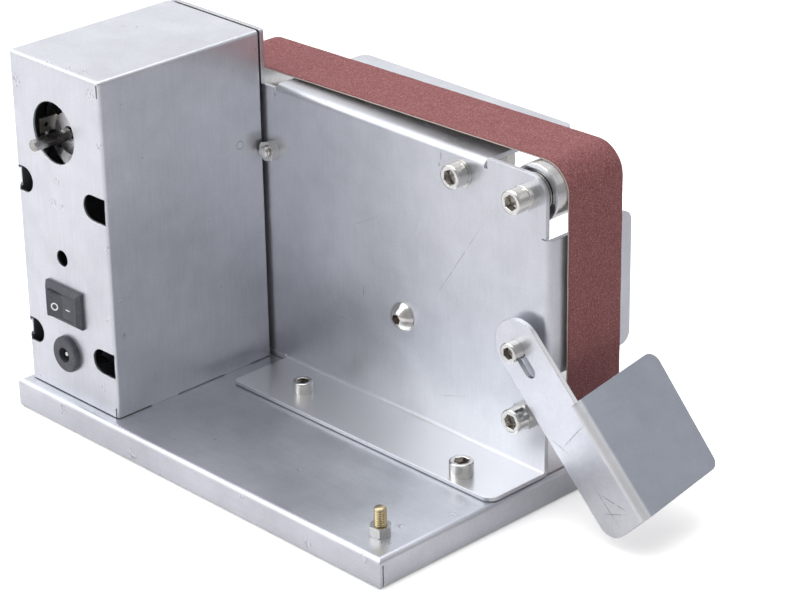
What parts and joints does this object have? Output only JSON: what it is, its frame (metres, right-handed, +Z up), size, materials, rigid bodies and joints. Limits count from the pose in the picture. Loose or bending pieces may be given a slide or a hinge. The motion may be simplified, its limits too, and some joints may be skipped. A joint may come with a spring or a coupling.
{
  "type": "belt sander",
  "caption": "Small bench-standing belt sander: motor box on a bent steel base, upright plate with top and side platens, narrow abrasive belt on rollers, tilting work rest.",
  "frame": {"origin": "bottom centre of the whole machine's box, on the bench surface", "axes": "+Z up; +X along the long side of the base, from the motor box to the work rest; +Y from the operator's side of the plate towards the belt"},
  "size_m": [0.2768, 0.146, 0.1594],
  "materials": {
    "zinc_sheet": "bright zinc plated sheet, satin",
    "box_sheet": "bright zinc plated thin sheet, satin",
    "rest_sheet": "bright zinc plated sheet, scratched",
    "nickel": "nickel plated",
    "bearing_steel": "ground bearing steel",
    "shaft_steel": "ground steel",
    "motor_steel": "zinc plated can",
    "core_steel": "laminated steel",
    "copper": "enamelled copper wire",
    "brass_zinc": "yellow zinc plated",
    "terminal_metal": "tinned brass",
    "aluminium": "turned",
    "black_plastic": "moulded",
    "grey_plastic": "moulded",
    "foot_rubber": "moulded",
    "belt_abrasive": "abrasive grit on cloth",
    "wire_red": "soft PVC",
    "wire_black": "soft PVC",
    "magnet": "ferrite",
    "carbon": "carbon"
  },
  "bodies": {
    "frame": {"base_pan": "zinc_sheet", "frame_plate": "zinc_sheet", "motor_box": "box_sheet", "feet_rubber": "foot_rubber", "feet_studs": "brass_zinc", "feet_nuts": "nickel", "flange_screw_left": "nickel", "flange_screw_right": "nickel", "m5_nuts": "nickel", "m6_nuts": "nickel", "box_screws": "nickel", "box_nuts": "nickel", "motor_can": "motor_steel", "motor_end_cap": "motor_steel", "motor_terminals": "terminal_metal", "motor_magnets": "magnet", "motor_bearings": "bearing_steel", "motor_brushes": "carbon", "motor_screws": "nickel", "abrasive_belt": "belt_abrasive", "roller_inner_rings": "bearing_steel", "spacer_tubes": "nickel", "roller_top_axle_bolt": "nickel", "roller_top_front_spacer": "nickel", "roller_low_axle_bolt": "nickel", "roller_low_front_nut": "nickel", "platen_support_bolt": "nickel", "washers": "nickel", "tension_pivot_screw": "nickel", "spring_post": "nickel", "tension_spring": "shaft_steel", "switch_housing": "grey_plastic", "solder_tabs": "terminal_metal", "jack_body": "black_plastic", "jack_pin": "nickel", "jack_nut": "nickel", "wires_red": "wire_red", "wire_black": "wire_black"},
    "motor_rotor": {"motor_rotor_core": "core_steel", "motor_windings": "copper", "motor_commutator": "copper", "motor_shaft": "shaft_steel", "drive_wheel": "aluminium", "drive_grub_screw": "core_steel"},
    "roller_top": {"roller_top_sleeve": "bearing_steel", "roller_top_bearing_rings": "bearing_steel"},
    "roller_low": {"roller_low_sleeve": "bearing_steel", "roller_low_bearing_rings": "bearing_steel"},
    "tension_arm": {"tension_arm": "zinc_sheet", "idler_axle": "shaft_steel", "idler_inner_rings": "bearing_steel", "idler_clip": "core_steel", "spring_pin": "nickel"},
    "idler": {"idler_sleeve": "bearing_steel", "idler_bearing_rings": "bearing_steel"},
    "switch_rocker": {"switch_rocker": "black_plastic"},
    "rest_pivot": {"rest_clamp_bolt": "nickel", "rest_spacer_nut": "nickel", "rest_lock_nut": "nickel"},
    "work_rest": {"work_rest": "rest_sheet"}
  },
  "joints": [
    {"name": "motor_spin", "type": "hinge", "parent": "frame", "child": "motor_rotor", "pos_m": [-0.10872, 0.03255, 0.1278], "axis": [0, 1, 0], "continuous": true},
    {"name": "roller_top_spin", "type": "hinge", "parent": "frame", "child": "roller_top", "pos_m": [0.07258, 0.04255, 0.1303], "axis": [0, 1, 0], "continuous": true},
    {"name": "roller_low_spin", "type": "hinge", "parent": "frame", "child": "roller_low", "pos_m": [0.07248, 0.04255, 0.0383], "axis": [0, 1, 0], "continuous": true},
    {"name": "tension_swing", "type": "hinge", "parent": "frame", "child": "tension_arm", "pos_m": [0.00258, 0.02655, 0.057], "axis": [0, 1, 0], "range_deg": [0, 10], "deforming": ["tension_spring"]},
    {"name": "idler_spin", "type": "hinge", "parent": "tension_arm", "child": "idler", "pos_m": [-0.01182, 0.04255, 0.0794], "axis": [0, 1, 0], "continuous": true},
    {"name": "switch_rock", "type": "hinge", "parent": "frame", "child": "switch_rocker", "pos_m": [-0.10822, -0.06015, 0.0552], "axis": [0, 0, -1], "range_deg": [0, 20]},
    {"name": "rest_tilt", "type": "hinge", "parent": "frame", "child": "rest_pivot", "pos_m": [0.07138, 0.01855, 0.0674], "axis": [0, -1, 0], "range_deg": [0, 45]},
    {"name": "rest_slide", "type": "slide", "parent": "rest_pivot", "child": "work_rest", "axis": [-0.7071, 0, 0.7071], "range_m": [0, 0.0098]}
  ],
  "couplings": [
    {"joint": "roller_top_spin", "follows": "motor_spin", "ratio": 0.86207},
    {"joint": "roller_low_spin", "follows": "motor_spin", "ratio": 0.86207},
    {"joint": "idler_spin", "follows": "motor_spin", "ratio": 0.90909}
  ]
}
